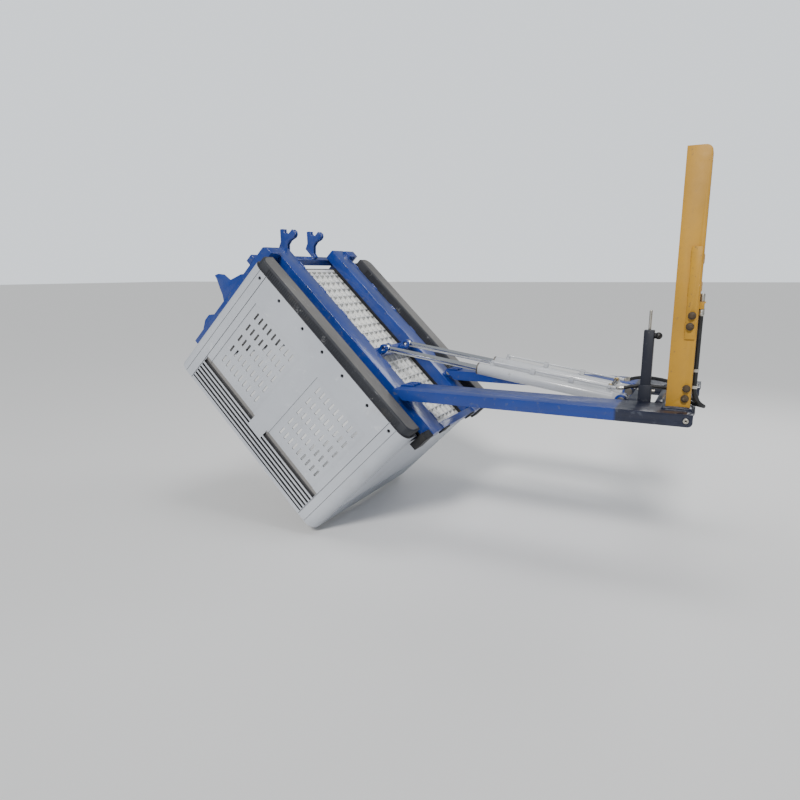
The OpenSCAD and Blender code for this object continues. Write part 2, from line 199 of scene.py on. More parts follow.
def paint(name, colour, worn, rough=0.3, coat=0.4, chips=0.71, dust=(0.35, 0.31, 0.26), dusty=0.16,
          rear=None):
    """Sprayed enamel: orange peel, cloudy tone, dust, and bare metal on knocked edges. A rear
    colour, a painted shadow, takes over near the guard frame."""
    mat, tree, shader, where = node_tree(name)
    cloud = noise(tree, where, 3.0, 5)
    deep = tuple(c * 0.78 for c in colour)
    base = blend_colour(tree, ramp(tree, cloud, 0.35, 0.65), deep, colour)
    # The rear colour is painted shadow: behind the given x it replaces the paint to copy a shadow cast over the
    # arms
    if rear:
        split = tree.nodes.new("ShaderNodeSeparateXYZ")
        tree.links.new(where, split.inputs[0])
        base = blend_colour(tree, ramp(tree, split.outputs[0], *PAINTED_SHADOW_FROM), base, rear)
    grime = calc(tree, "MULTIPLY", ramp(tree, noise(tree, where, 9.0, 8, 0.7), 0.45, 0.85), dusty * 2.2)
    base = blend_colour(tree, grime, base, dust)
    geo = tree.nodes.new("ShaderNodeNewGeometry")
    edge = ramp(tree, geo.outputs["Pointiness"], 0.52, 0.60)
    patch = ramp(tree, noise(tree, where, 38.0, 6, 0.7), chips - 0.12, chips - 0.06)
    speck = ramp(tree, noise(tree, where, 95.0, 3, 0.6), chips + 0.02, chips + 0.05)
    bare = calc(tree, "MAXIMUM", calc(tree, "MULTIPLY", edge, patch), speck)
    tree.links.new(blend_colour(tree, bare, base, worn), shader.inputs["Base Color"])
    gloss = spread(tree, noise(tree, where, 22.0, 4), rough - 0.07, rough + 0.13)
    tree.links.new(calc(tree, "ADD", gloss, calc(tree, "MULTIPLY", grime, 0.5)), shader.inputs["Roughness"])
    shader.inputs["Coat Weight"].default_value = coat
    shader.inputs["Coat Roughness"].default_value = 0.14
    peel = noise(tree, where, 420.0, 2)
    first = bump(tree, shader, peel, 0.12, 0.0004)
    bump(tree, shader, noise(tree, where, 24.0, 3), 0.10, 0.002, first)
    return mat


def plastic(name, colour, shade, rough, grain=900.0, stain=(0.30, 0.25, 0.18), stains=0.25):
    """Moulded polyethylene: fine grain, scuffs along the wall, soil in patches."""
    mat, tree, shader, where = node_tree(name)
    base = blend_colour(tree, ramp(tree, noise(tree, where, 2.2, 6), 0.3, 0.7), shade, colour)
    scuff = ramp(tree, noise(tree, where, 16.0, 8, 0.75, (1.0, 5.0, 1.0)), 0.60, 0.72)
    base = blend_colour(tree, calc(tree, "MULTIPLY", scuff, 0.35), base, (0.86, 0.87, 0.88))
    soil = calc(tree, "MULTIPLY", ramp(tree, noise(tree, where, 5.5, 9, 0.72), 0.56, 0.80), stains)
    tree.links.new(blend_colour(tree, soil, base, stain), shader.inputs["Base Color"])
    gloss = spread(tree, noise(tree, where, 30.0, 5), rough - 0.08, rough + 0.12)
    tree.links.new(gloss, shader.inputs["Roughness"])
    first = bump(tree, shader, noise(tree, where, grain, 2), 0.14, 0.0004)
    bump(tree, shader, noise(tree, where, 7.0, 4), 0.18, 0.003, first)
    shader.inputs["Subsurface Weight"].default_value = 0.04
    shader.inputs["Subsurface Radius"].default_value = (0.004, 0.004, 0.004)
    return mat


def metal(name, colour, dark, rough, streak=(1.0, 1.0, 1.0), tarnish=0.4, scale=60.0):
    """Bare or plated steel with drawn streaks and darker tarnish."""
    mat, tree, shader, where = node_tree(name)
    patch = calc(tree, "MULTIPLY", ramp(tree, noise(tree, where, 12.0, 6, 0.7), 0.45, 0.75), tarnish)
    tree.links.new(blend_colour(tree, patch, colour, dark), shader.inputs["Base Color"])
    shader.inputs["Metallic"].default_value = 1.0
    fine = noise(tree, where, scale, 6, 0.6, streak)
    gloss = spread(tree, fine, rough - 0.05, rough + 0.12)
    tree.links.new(calc(tree, "ADD", gloss, calc(tree, "MULTIPLY", patch, 0.3)), shader.inputs["Roughness"])
    bump(tree, shader, fine, 0.07, 0.0005)
    return mat


def rubber(name, colour, rough, rib=0.0, dusty=0.05):
    """Dull black rubber or plastic, with dust and, where rib is given, a moulded wave."""
    mat, tree, shader, where = node_tree(name)
    dust = ramp(tree, noise(tree, where, 14.0, 7, 0.7), 0.50, 0.85)
    light = tuple(dusty + c for c in colour)
    tree.links.new(blend_colour(tree, dust, colour, light), shader.inputs["Base Color"])
    gloss = spread(tree, noise(tree, where, 60.0, 4), rough - 0.1, rough + 0.12)
    tree.links.new(gloss, shader.inputs["Roughness"])
    first = bump(tree, shader, noise(tree, where, 700.0, 2), 0.25, 0.0005)
    if rib:
        wave = tree.nodes.new("ShaderNodeTexWave")
        wave.inputs["Scale"].default_value = rib
        wave.inputs["Distortion"].default_value = 0.4
        tree.links.new(where, wave.inputs["Vector"])
        bump(tree, shader, wave.outputs["Fac"], 0.3, 0.0007, first)
    return mat


BLUE = paint("blue_enamel", (0.004, 0.038, 0.27), (0.10, 0.11, 0.14), 0.30, 0.5, 0.70,
             (0.13, 0.17, 0.30), 0.12)
# The arms' blue, with a near-black rear colour as painted shadow over their rear part
ARM_BLUE_PAINTED_SHADOW = paint("arm_blue_enamel_painted_shadow", (0.004, 0.038, 0.27), (0.10, 0.11, 0.14), 0.32, 0.3, 0.70,
                  (0.03, 0.05, 0.12), 0.10,
                  (0.001, 0.004, 0.022))
# The parking leg: the frame's blue darkened to near black, painted shade for the guard post's shadow over it
LEG_BLUE_SHADE = paint("leg_blue_enamel_painted_shade", (0.003, 0.006, 0.020), (0.06, 0.06, 0.07), 0.42, 0.15, 0.74,
             (0.03, 0.035, 0.05), 0.10)
YELLOW = paint("ochre_enamel", (0.56, 0.285, 0.012), (0.10, 0.07, 0.05), 0.45, 0.12, 0.72,
               (0.30, 0.18, 0.05), 0.16)
SILVER = paint("silver_enamel", (0.56, 0.58, 0.61), (0.20, 0.19, 0.18), 0.27, 0.5, 0.72,
               (0.42, 0.40, 0.37), 0.14)
ZINC = metal("zinc_plate", (0.55, 0.53, 0.48), (0.20, 0.17, 0.12), 0.34)
DARK_ZINC = metal("oiled_steel", (0.16, 0.15, 0.14), (0.05, 0.04, 0.03), 0.42)
BRASS = metal("brass_fitting", (0.60, 0.43, 0.17), (0.18, 0.16, 0.08), 0.30)
CHROME = metal("hard_chrome", (0.80, 0.82, 0.85), (0.55, 0.56, 0.58), 0.10, (40.0, 1.0, 1.0), 0.2, 20.0)
WALL = plastic("bin_wall_plastic", (0.55, 0.575, 0.62), (0.45, 0.475, 0.525), 0.42)
# Painted shade: darker copies of the wall plastic, one for deep cells, slot walls and steep steps, one for
# slopes and the inside
WALL_RECESS_SHADE = plastic("bin_recess_painted_shade", (0.085, 0.085, 0.09), (0.05, 0.05, 0.055), 0.6)
WALL_SLOPE_SHADE = plastic("bin_slope_painted_shade", (0.27, 0.26, 0.25), (0.19, 0.185, 0.18), 0.5)
# The bin's floor: its grey plastic painted near white, a painted highlight where the sun lights the base
GRID_PAINTED_SUNLIGHT = plastic("bin_base_plastic", (0.83, 0.83, 0.80), (0.70, 0.71, 0.71), 0.46, 900.0,
               (0.42, 0.34, 0.22), 0.35)
RUNNER = plastic("runner_plastic", (0.20, 0.195, 0.19), (0.095, 0.093, 0.092), 0.62, 200.0,
                 (0.20, 0.15, 0.10), 0.6)
# The runners' sides and ribs: the runner plastic darkened as painted shade
RUNNER_SIDE_SHADE = plastic("runner_side_painted_shade", (0.030, 0.033, 0.042), (0.016, 0.018, 0.025), 0.6, 260.0)
HOSE = rubber("hose_rubber", (0.012, 0.012, 0.013), 0.42, 150.0)
PAD = rubber("pad_rubber", (0.006, 0.006, 0.007), 0.62, 60.0, 0.02)
GRIP = rubber("knob_plastic", (0.008, 0.008, 0.009), 0.40, 0.0, 0.01)
# The post bolts: the post's ochre darkened to a tenth, painted shade for the heads' shading and cast shadows
BOLT_OCHRE_SHADE = paint("bolt_ochre_painted_shade", (0.055, 0.030, 0.008), (0.30, 0.24, 0.16), 0.45, 0.1, 0.66,
               (0.12, 0.08, 0.03), 0.2)

# ---------------------------------------------------------------- mesh helpers
def add_piece(name, bm, material, body, smooth=35.0, bevel=0.0, materials=()):
    bmesh.ops.recalc_face_normals(bm, faces=bm.faces)
    mesh = bpy.data.meshes.new(name)
    bm.to_mesh(mesh)
    bm.free()
    for m in (material, *materials):
        mesh.materials.append(m)
    obj = bpy.data.objects.new(name, mesh)
    scene.collection.objects.link(obj)
    for p in mesh.polygons:
        p.use_smooth = True
    mesh.set_sharp_from_angle(angle=math.radians(smooth))
    if bevel:
        soften(obj, bevel)
    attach(obj, body)
    return obj


def soften(obj, width, segments=2):
    b = obj.modifiers.new("edges", "BEVEL")
    b.width, b.segments = width, segments
    b.limit_method, b.angle_limit = "ANGLE", math.radians(35)
    b.harden_normals = False


def box(bm, place, lo, hi, material=0):
    corners = [bm.verts.new(place(x, y, z))
               for x in (lo[0], hi[0]) for y in (lo[1], hi[1]) for z in (lo[2], hi[2])]
    quads = ((0, 1, 3, 2), (4, 6, 7, 5), (0, 4, 5, 1), (2, 3, 7, 6), (0, 2, 6, 4), (1, 5, 7, 3))
    for q in quads:
        bm.faces.new([corners[i] for i in q]).material_index = material


def frame_of(direction):
    d = direction.normalized()
    side = d.cross(Vector((0, 0, 1)) if abs(d.z) < 0.9 else Vector((1, 0, 0))).normalized()
    return side, d.cross(side)


def lathe(bm, start, direction, profile, sides=32, material=0):
    """A turned piece: profile is (distance along, radius) pairs from start; ends are closed."""
    a, b = frame_of(direction)
    d = direction.normalized()
    rings = []
    for t, r in profile:
        ring = []
        for k in range(sides):
            angle = 2 * math.pi * k / sides
            ring.append(bm.verts.new(start + d * t + (a * math.cos(angle) + b * math.sin(angle)) * r))
        rings.append(ring)
    for one, two in zip(rings, rings[1:]):
        for k in range(sides):
            n = (k + 1) % sides
            bm.faces.new((one[k], one[n], two[n], two[k])).material_index = material
    bm.faces.new(rings[0]).material_index = material
    bm.faces.new(list(reversed(rings[-1]))).material_index = material


def weld_bead(bm, start, end, radius, sides=8):
    """A welded seam: a half-buried bead whose ripples follow the torch."""
    length = (end - start).length
    if length < 0.004:
        return
    steps = max(4, int(length / 0.0022))
    a, b = frame_of(end - start)
    rings = []
    for i in range(steps + 1):
        t = i / steps
        fade = min(1.0, 6 * min(t, 1 - t) + 0.25)
        r = radius * fade * (1.0 + 0.14 * (i % 2)) * rng.uniform(0.94, 1.06)
        at = start.lerp(end, t)
        angles = [2 * math.pi * k / sides for k in range(sides)]
        ring = [bm.verts.new(at + (a * math.cos(q) + b * math.sin(q)) * r) for q in angles]
        rings.append(ring)
    for one, two in zip(rings, rings[1:]):
        for k in range(sides):
            bm.faces.new((one[k], one[(k + 1) % sides], two[(k + 1) % sides], two[k]))
    bm.faces.new(rings[0])
    bm.faces.new(list(reversed(rings[-1])))


def welds(name, seams, place, material, body, radius=0.0035):
    bm = bmesh.new()
    for p, q in seams:
        weld_bead(bm, place(*p), place(*q), radius)
    return add_piece(name, bm, material, body, 60.0)


# ---------------------------------------------------------------- CAD nodes that stay
def carry(names, material, width):
    for n in names:
        obj = nodes[n]
        obj.data.materials.clear()
        obj.data.materials.append(material)
        join = obj.modifiers.new("join", "WELD")
        join.merge_threshold = 0.00001
        flat = obj.modifiers.new("flat", "DECIMATE")
        flat.decimate_type, flat.angle_limit = "DISSOLVE", math.radians(0.5)
        if width:
            soften(obj, width)
        for p in obj.data.polygons:
            p.use_smooth = True
        obj.data.set_sharp_from_angle(angle=math.radians(30))


FRAME_BLUE = ["arm_left", "arm_right", "arm_lugs", "rear_box", "saddle_bar", "base_ears", "post_feet"]
CRADLE_BLUE = ["beam_left", "beam_right", "tilt_lugs", "eye_tube", "eye_ears", "front_bar", "upright_left",
               "upright_right", "back_tube_low", "back_tube_high", "side_lugs", "stop_blocks", "saddle_hooks"]
# The frame's arms carry the blue with its painted shadow towards the rear
carry(FRAME_BLUE, ARM_BLUE_PAINTED_SHADOW, 0.0022)
carry(CRADLE_BLUE, BLUE, 0.0022)
carry(["post_left", "post_right", "post_cross_top", "post_cross_mid"], YELLOW, 0.004)
carry(["post_strips", "coupler_bracket"], YELLOW, 0.0012)
# The parking leg takes the near-black painted shade of the blue
carry(["parking_leg", "leg_foot", "leg_sleeve"], LEG_BLUE_SHADE, 0.002)
carry(["barrel_left", "barrel_right"], SILVER, 0.0015)
carry(["barrel_pipes", "barrel_pipes_right"], SILVER, 0.0008)
carry(["gland_left", "gland_right"], DARK_ZINC, 0.0012)
carry(["rod_left", "rod_right", "rod_eye_left", "rod_eye_right"], CHROME, 0.0008)
carry(["base_pins"], DARK_ZINC, 0.0012)
carry(["pivot_pins", "retaining_pin_left", "retaining_pin_right"], ZINC, 0.0012)
# The post bolts take the darkened ochre, painted shade
carry(["post_bolts"], BOLT_OCHRE_SHADE, 0.0008)
carry(["leg_pull_rod", "leg_clamp", "couplers", "hose_clips"], ZINC, 0.0006)
carry(["bearing_strips", "front_pads"], PAD, 0.002)
# The locking rod's knob, on the rear side of the leg, is black plastic and its rod bare steel
KNOB_X = -0.180
pull = nodes["leg_pull_rod"].data
pull.materials.append(GRIP)
for face in pull.polygons:
    if face.center.x > KNOB_X:
        face.material_index = 1


# ---------------------------------------------------------------- relief walls
# A relief's faces take slot 0 on its front, 1 in deep cells and on steep steps, and 2 on slopes
# and on its back; the bin walls fill slots 1 and 2 with darker painted-shade copies of their plastic
DEEP_CELL, DARK_STEP, SLOPE_RISE, SKIN = 0.012, 0.0032, 0.005, 0.003


def relief(bm, place, xs, ys, depth, thick):
    """A sheet cut into cells. depth(x, y) gives None for a hole or (inward depth at the low
    edge, at the high edge). place(x, y, depth) gives the point. Steps and edges are closed, and
    the back follows where the front is deeper than the sheet."""
    cells = {}
    for i in range(len(xs) - 1):
        for j in range(len(ys) - 1):
            cells[i, j] = depth((xs[i] + xs[i + 1]) / 2, (ys[j] + ys[j + 1]) / 2)
    seen = {}

    def vert(x, y, d):
        key = (round(x, 6), round(y, 6), round(d, 6))
        if key not in seen:
            seen[key] = bm.verts.new(place(x, y, d))
        return seen[key]

    def face(points, material=0):
        vs = []
        for p in points:
            v = vert(*p)
            if v not in vs:
                vs.append(v)
        if len(vs) > 2:
            try:
                bm.faces.new(vs).material_index = material
            except ValueError:
                pass

    def edge_wall(x0, y0, x1, y1, a, b):
        """Closes between depths a = (at the first end, at the second end) and b along an edge."""
        if abs(a[0] - b[0]) > 1e-6 or abs(a[1] - b[1]) > 1e-6:
            # Steps deeper than DARK_STEP take slot 1, painted shade
            face(((x0, y0, a[0]), (x1, y1, a[1]), (x1, y1, b[1]), (x0, y0, b[0])),
                 1 if abs(a[0] - b[0]) > DARK_STEP else 0)

    def rear(d):
        return thick if d in (None, 0) else max(thick, d[0] + SKIN, d[1] + SKIN)

    for (i, j), d in cells.items():
        x0, x1, y0, y1 = xs[i], xs[i + 1], ys[j], ys[j + 1]
        if d is None:
            continue
        # Deep cells take slot 1 and slopes slot 2, the painted-shade slots
        tone = 2 if d[1] - d[0] > SLOPE_RISE else 1 if d[0] > DEEP_CELL else 0
        face(((x0, y0, d[0]), (x1, y0, d[0]), (x1, y1, d[1]), (x0, y1, d[1])), tone)
        deep = rear(d)
        back = (deep, deep)
        # The back takes slot 2, painted shade inside the bin
        face(((x0, y0, deep), (x0, y1, deep), (x1, y1, deep), (x1, y0, deep)), 2)
        right, above = cells.get((i + 1, j), 0), cells.get((i, j + 1), 0)
        if right is None or i + 1 == len(xs) - 1:
            edge_wall(x1, y0, x1, y1, d, back)
        elif right != 0:
            edge_wall(x1, y0, x1, y1, d, right)
            edge_wall(x1, y0, x1, y1, back, (rear(right), rear(right)))
        if above is None or j + 1 == len(ys) - 1:
            edge_wall(x0, y1, x1, y1, (d[1], d[1]), back)
        elif above != 0:
            edge_wall(x0, y1, x1, y1, (d[1], d[1]), (above[0], above[0]))
            edge_wall(x0, y1, x1, y1, back, (rear(above), rear(above)))
        if cells.get((i - 1, j), None) is None:
            edge_wall(x0, y0, x0, y1, d, back)
        if cells.get((i, j - 1), None) is None:
            edge_wall(x0, y0, x1, y0, (d[0], d[0]), back)


def breaks(*groups):
    """Sorted cut positions with near doubles dropped."""
    out = []
    for v in sorted(v for g in groups for v in g):
        if not out or v - out[-1] > 0.0004:
            out.append(v)
    return out


# The long walls of the bin: vent slots, grooves beside the corner posts, and the ribbed rim band
SLOT_W, SLOT_H = 0.0115, 0.042
PANELS = ((0.152, 0.518), (0.647, 1.013))
SLOT_ROWS = [0.166 + 0.0775 * k for k in range(5)]
SLOTS_PER_ROW, SLOT_PITCH, SLOT_START = 9, 0.0352, 0.038
PANEL_W0, PANEL_DEEP = 0.139, 0.0035
GROOVES = (0.0627, 0.1113)
GROOVE = 0.0036
BAND_W0, BAND_FLAT, BAND_W1, BAND_DEEP = 0.570, 0.598, 0.722, 0.016
RIBS = [BAND_FLAT + 0.010 + 0.0235 * k for k in range(5)]
RIB_T = 0.011
HOLES = (0.087, 0.2435, 0.4294, 0.5825, 0.7356, 0.9215, 1.078)
HOLE_W, HOLE_R = 0.0316, 0.009
TAB = (0.532, 0.633)
TAB_W1 = 0.632
FOOT_IN = 0.124


def slot_starts(panel):
    return [panel[0] + SLOT_START + SLOT_PITCH * k - SLOT_W / 2 for k in range(SLOTS_PER_ROW)]


def long_wall(u, w):
    """Depth of the long walls' outer face."""
    if any(abs(u - h) < HOLE_R * 1.25 and abs(w - HOLE_W) < HOLE_R * 1.25 for h in HOLES):
        return None
    for p in PANELS:
        if p[0] < u < p[1] and PANEL_W0 < w < BAND_W0:
            for s in slot_starts(p):
                if s < u < s + SLOT_W and any(r < w < r + SLOT_H for r in SLOT_ROWS):
                    return None
    for g in GROOVES:
        if min(abs(u - g), abs(BIN_L - u - g)) < GROOVE / 2:
            return (0.005, 0.005)
    inner = GROOVES[1] + 0.004 < u < BIN_L - GROOVES[1] - 0.004
    if inner and BAND_W0 < w < BAND_W1 and not (TAB[0] < u < TAB[1] and w < TAB_W1):
        if w < BAND_FLAT:
            start = PANEL_DEEP if any(p[0] < u < p[1] for p in PANELS) else 0.0
            return (start, BAND_DEEP)
        if any(r < w < r + RIB_T for r in RIBS):
            return (0.0, 0.0)
        return (BAND_DEEP, BAND_DEEP)
    if any(p[0] < u < p[1] for p in PANELS) and PANEL_W0 < w < BAND_W0:
        return (PANEL_DEEP, PANEL_DEEP)
    return (0.0, 0.0)


def end_wall(v, w):
    """Depth of the end walls' outer face. They stop above the gap between the runners."""
    if w < 0.050 and FOOT_IN < v < BIN_L - FOOT_IN:
        return None
    for g in GROOVES:
        if min(abs(v - g), abs(BIN_L - v - g)) < GROOVE / 2:
            return (0.005, 0.005)
    inner = GROOVES[1] + 0.004 < v < BIN_L - GROOVES[1] - 0.004
    if inner and BAND_W0 < w < BAND_W1:
        if any(r < w < r + RIB_T for r in RIBS):
            return (0.0, 0.0)
        return (0.003, 0.003)
    return (0.0, 0.0)


def hole_patch(bm, place, x, y, r, thick, sides=24):
    """Fills the square left round a drilled hole, with the hole's own wall."""
    half = r * 1.25
    rim, edge, deep = [], [], []
    for k in range(sides):
        angle = 2 * math.pi * k / sides
        c, s = math.cos(angle), math.sin(angle)
        reach = half / max(abs(c), abs(s))
        edge.append(bm.verts.new(place(x + reach * c, y + reach * s, 0)))
        rim.append(bm.verts.new(place(x + r * c, y + r * s, 0)))
        deep.append(bm.verts.new(place(x + r * c, y + r * s, thick)))
    for k in range(sides):
        n = (k + 1) % sides
        bm.faces.new((edge[k], edge[n], rim[n], rim[k]))
        bm.faces.new((rim[k], rim[n], deep[n], deep[k]))


def bin_walls():
    bm = bmesh.new()
    flat0, flat1 = BIN_R, BIN_L - BIN_R
    slot_u = [x for p in PANELS for s in slot_starts(p) for x in (s, s + SLOT_W)]
    groove_u = [x for g in GROOVES for x in (g - GROOVE / 2, g + GROOVE / 2, BIN_L - g - GROOVE / 2,
                                              BIN_L - g + GROOVE / 2)]
    inner_u = [GROOVES[1] + 0.004, BIN_L - GROOVES[1] - 0.004]
    hole_u = [h + d for h in HOLES for d in (-HOLE_R * 1.25, HOLE_R * 1.25)]
    us = breaks([flat0, flat1], slot_u, groove_u, inner_u, hole_u, [x for p in PANELS for x in p], TAB)
    us = [u for u in us if flat0 <= u <= flat1]
    rib_w = [x for r in RIBS for x in (r, r + RIB_T)]
    ws = breaks([0, BIN_H], [HOLE_W - HOLE_R * 1.25, HOLE_W + HOLE_R * 1.25], [PANEL_W0, BAND_W0, BAND_FLAT,
                BAND_W1, TAB_W1], rib_w, [x for r in SLOT_ROWS for x in (r, r + SLOT_H)])
    near = lambda x, y, d: tip(x, -HALF + d, y)
    far = lambda x, y, d: tip(x, HALF - d, y)
    heel = lambda x, y, d: tip(BIN_L - d, x - HALF, y)
    toe = lambda x, y, d: tip(d, x - HALF, y)
    for place in (near, far):
        relief(bm, place, us, ws, long_wall, BIN_T)
        for h in HOLES:
            hole_patch(bm, place, h, HOLE_W, HOLE_R, BIN_T)
    vs = breaks([flat0, flat1], groove_u, inner_u, [FOOT_IN, BIN_L - FOOT_IN])
    vs = [v for v in vs if flat0 <= v <= flat1]
    for place in (heel, toe):
        relief(bm, place, vs, breaks([0, 0.050, BIN_H, BAND_W0, BAND_W1], rib_w), end_wall, BIN_T)
    turns = 14
    angles = [math.pi / 2 * k / turns for k in range(turns + 1)]
    for cu, cy, a0 in ((flat1, HALF - BIN_R, 0), (flat0, HALF - BIN_R, 1), (flat0, BIN_R - HALF, 2),
                       (flat1, BIN_R - HALF, 3)):
        turned = lambda x, y, d: tip(cu + (BIN_R - d) * math.cos(x + a0 * math.pi / 2),
                                     cy + (BIN_R - d) * math.sin(x + a0 * math.pi / 2), y)
        relief(bm, turned, angles, [0, BIN_H], lambda x, y: (0.0, 0.0), BIN_T)
    # The walls' slots 1 and 2 hold the painted-shade plastics
    obj = add_piece("bin_walls", bm, WALL, "cradle", 32.0, 0.0, (WALL_RECESS_SHADE, WALL_SLOPE_SHADE))
    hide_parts("bin_shell")
    return obj


def ring_outline(inset, turns=10):
    """Points round the bin's outline, pushed inward by inset."""
    r = BIN_R - inset
    points = []
    for cu, cy, a0 in ((BIN_L - BIN_R, HALF - BIN_R, 0), (BIN_R, HALF - BIN_R, 1), (BIN_R, BIN_R - HALF, 2),
                       (BIN_L - BIN_R, BIN_R - HALF, 3)):
        for k in range(turns + 1):
            angle = (a0 + k / turns) * math.pi / 2
            points.append((cu + r * math.cos(angle), cy + r * math.sin(angle)))
    return points


def ring_band(bm, profile):
    """Sweeps a closed profile of (inset, w) points round the bin."""
    rings = [[bm.verts.new(tip(u, y, w)) for u, y in ring_outline(inset)] for inset, w in profile]
    count = len(rings[0])
    for one, two in zip(rings, rings[1:] + rings[:1]):
        for k in range(count):
            n = (k + 1) % count
            bm.faces.new((one[k], one[n], two[n], two[k]))


def bin_rim():
    """The thick rolled rim, above the ribbed band."""
    bm = bmesh.new()
    top = BIN_H
    ring_band(bm, [(0.0083, top - 0.018), (0.0083, top - 0.0005), (0.010, top), (0.0165, top - 0.0008),
                   (0.018, top - 0.004), (0.018, top - 0.015), (0.015, top - 0.018)])
    obj = add_piece("bin_rim_roll", bm, WALL, "cradle", 40.0)
    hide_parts("bin_rim")


def bin_base():
    """The floor: a vented plate with a rib grid on its underside."""
    bm = bmesh.new()
    lo, hi = BIN_T + 0.0005, BIN_L - BIN_T - 0.0005
    corner = 0.016
    pitch, rib = 0.0560, 0.006
    count = int((hi - lo - 2 * corner) / pitch)
    start = (lo + hi - count * pitch) / 2
    ribs = [start + k * pitch for k in range(count + 1)]
    cuts = breaks([lo + corner, hi - corner], [r - rib / 2 for r in ribs], [r + rib / 2 for r in ribs],
                  [r + pitch / 2 + d for r in ribs[:-1] for d in (-0.019, -0.009, 0.009, 0.019)])

    def floor_depth(u, v):
        if min(abs(u - r) for r in ribs) < rib / 2 or min(abs(v - r) for r in ribs) < rib / 2:
            return (0.0, 0.0)
        cu, cv = (u - start) % pitch - pitch / 2, (v - start) % pitch - pitch / 2
        if 0.009 < abs(cu) < 0.019 and abs(cv) < 0.019:
            return None
        return (0.012, 0.012)

    place = lambda x, y, d: tip(x, y - HALF, 0.050 + d)
    relief(bm, place, cuts, cuts, floor_depth, 0.022)
    ring_band(bm, [(0.0085, 0.050), (0.0085, 0.074), (0.026, 0.074), (0.026, 0.050)])
    # The floor and its band take the near-white painted highlight
    obj = add_piece("bin_base_grid", bm, GRID_PAINTED_SUNLIGHT, "cradle", 32.0, 0.0, (GRID_PAINTED_SUNLIGHT, GRID_PAINTED_SUNLIGHT))
    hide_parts("bin_floor")


def bin_runners():
    """The two long feet, with ribbed sides in painted shade and a worn sole."""
    bm = bmesh.new()
    for side in (-1, 1):
        y_out, y_in = side * (HALF - 0.014), side * (HALF - 0.122)
        outer = [(u, y) for u, y in ring_outline(0.0095, 12)]
        edge = [(u, y) for u, y in outer if side * y > side * y_in]
        edge.sort(key=lambda p: math.atan2(side * (p[1] - y_in), p[0] - BIN_L / 2))
        path = [(BIN_L - 0.0095, y_in)] + edge + [(0.0095, y_in)]
        path = [(u, y if side * y < side * y_out else y_out) for u, y in path]
        rows = [(0.0, 0.050), (0.0, -0.036), (0.003, -0.0415), (0.009, -0.043)]
        middle = Vector((BIN_L / 2, (y_out + y_in) / 2))
        rings = []
        for inset, w in rows:
            ring = []
            for u, y in path:
                pull_u = math.copysign(min(inset, abs(u - middle.x)), middle.x - u)
                pull_y = math.copysign(min(inset, abs(y - middle.y)), middle.y - y)
                ring.append(bm.verts.new(tip(u + pull_u, y + pull_y, w)))
            rings.append(ring)
        count = len(path)
        for one, two in zip(rings, rings[1:]):
            for k in range(count):
                n = (k + 1) % count
                bm.faces.new((one[k], one[n], two[n], two[k])).material_index = 1
        bm.faces.new(rings[-1]).material_index = 0
        bm.faces.new(list(reversed(rings[0]))).material_index = 1
        pitch = 0.0125
        for k in range(int((BIN_L - 0.16) / pitch)):
            u = 0.08 + k * pitch
            y0, y1 = sorted((y_out - side * 0.001, y_out + side * 0.0025))
            box(bm, tip, (u, y0, -0.034), (u + 0.006, y1, -0.006), 1)
            y0, y1 = sorted((y_in + side * 0.001, y_in - side * 0.0025))
            box(bm, tip, (u, y0, -0.034), (u + 0.006, y1, 0.046), 1)
    obj = add_piece("bin_runners", bm, RUNNER, "cradle", 30.0, 0.0, (RUNNER_SIDE_SHADE,))
    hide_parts("bin_feet")


bin_walls()
bin_rim()
bin_base()
bin_runners()

# ---------------------------------------------------------------- welds
BEAM_IN, BEAM_OUT, BEAM_FACE, ARM_IN = 0.2295, 0.3605, -0.031, 0.2375


def cradle_welds():
    seams = []
    for side in (-1, 1):
        for k in range(7):
            u = 0.012 + 0.1785 * k
            for y in (BEAM_IN, BEAM_OUT):
                seams.append(((u, side * y, BEAM_FACE), (u + 0.055, side * y, BEAM_FACE)))
        for y in (ARM_IN + 0.0305, ARM_IN + 0.0495, ARM_IN + 0.0775, ARM_IN + 0.0965):
            seams.append(((0.196, side * y, BEAM_FACE), (0.247, side * y, BEAM_FACE)))
        for u in (0.475, 0.525):
            seams.append(((u, side * BEAM_IN, 0.006), (u, side * BEAM_IN, 0.028)))
        for w in (0.0495, 0.0955):
            seams.append(((1.239, side * 0.362, w), (1.239, side * 0.451, w)))
        seams.append(((1.239, side * 0.4385, 0.165), (1.239, side * 0.4385, 0.355)))
        seams.append(((1.239, side * 0.393, 0.459), (1.239, side * 0.393, 0.580)))
        for y in (CYL_Y - 0.016, CYL_Y + 0.016):
            seams.append(((1.244, side * y, 0.0495), (1.266, side * y, 0.0495)))
        for w in (0.562, 0.618):
            seams.append(((1.190, side * 0.360, w), (1.236, side * 0.360, w)))
        seams.append(((-0.038, side * BEAM_IN, BEAM_FACE), (-0.006, side * BEAM_IN, BEAM_FACE)))
    welds("cradle_welds", seams, tip, BLUE, "cradle", 0.003)


